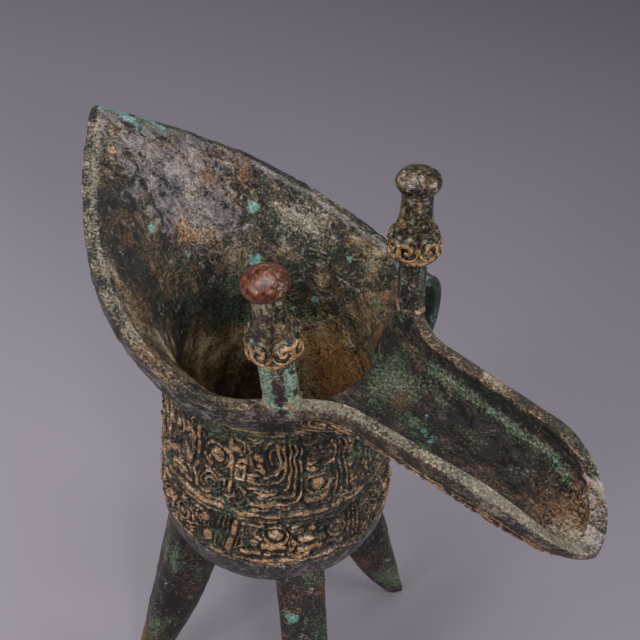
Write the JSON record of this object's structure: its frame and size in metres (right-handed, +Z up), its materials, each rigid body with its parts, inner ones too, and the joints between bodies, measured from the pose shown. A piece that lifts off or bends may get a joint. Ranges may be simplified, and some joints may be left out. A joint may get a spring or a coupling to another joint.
{
  "type": "jue ritual wine vessel",
  "caption": "Bronze jue wine vessel on blade legs: deep round cup with carved bands, long trough spout, leaf-shaped tail, capped rim posts and a strap handle.",
  "frame": {"origin": "centre of the vessel's outline seen from above, at the height its three feet stand on", "axes": "+X towards the spout's nose, -X towards the tail's tip, +Y to the side that carries the handle, +Z up"},
  "size_m": [0.183, 0.1028, 0.1979],
  "materials": {
    "cup_bronze": "dark waxed patina",
    "band_bronze": "cast ornament, rubbed brown tops over green-black grounds",
    "mouth_bronze": "mottled brown and grey-green patina",
    "post_bronze": "green-brown patina",
    "cap_bronze": "red-brown patina, satin",
    "handle_bronze": "dark green patina",
    "leg_bronze": "dark brown patina with green edges"
  },
  "bodies": {
    "root": {"cup_wall": "cup_bronze", "cup_bottom": "cup_bronze", "lower_band": "band_bronze", "upper_band": "band_bronze", "tail": "mouth_bronze", "spout": "mouth_bronze", "near_post": "post_bronze", "far_post": "post_bronze", "near_cap": "cap_bronze", "far_cap": "cap_bronze", "handle": "handle_bronze", "handle_mask": "handle_bronze", "leg_handle_side": "leg_bronze", "leg_tail_side": "leg_bronze", "leg_spout_side": "leg_bronze"}
  },
  "joints": []
}
